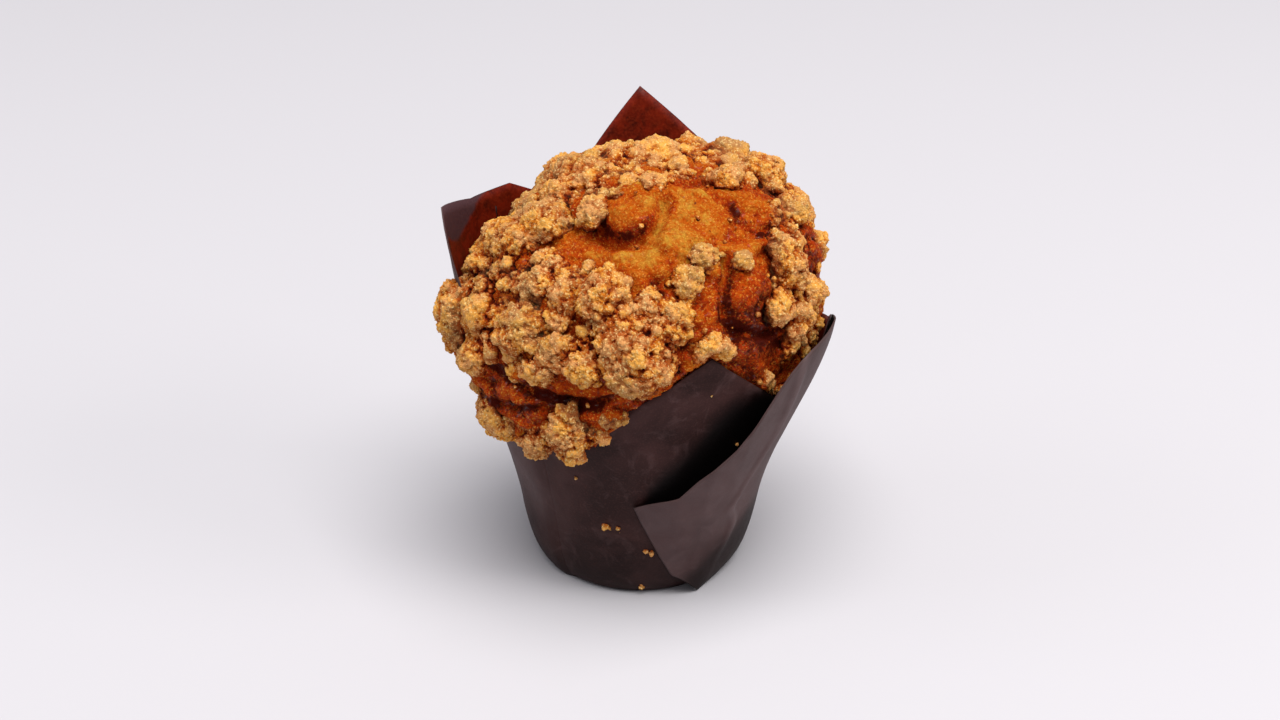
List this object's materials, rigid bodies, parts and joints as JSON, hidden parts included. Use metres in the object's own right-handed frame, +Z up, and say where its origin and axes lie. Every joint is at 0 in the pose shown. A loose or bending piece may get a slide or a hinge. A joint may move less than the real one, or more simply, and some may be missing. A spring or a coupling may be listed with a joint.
{
  "type": "muffin",
  "caption": "Large crumb-topped muffin, its dome risen above a tall pointed case folded from dark baking paper.",
  "frame": {"origin": "centre of the paper case's flat base, where it stands on the table", "axes": "+Z up out of the crown, +X to the right and +Y away from the viewer of the pictured front"},
  "size_m": [0.0922, 0.0898, 0.103],
  "materials": {
    "muffin": "browned crust under sandy crumbs",
    "baking_paper": "matt dark brown"
  },
  "bodies": {
    "root": {"muffin": "muffin", "case": "baking_paper"}
  },
  "joints": []
}
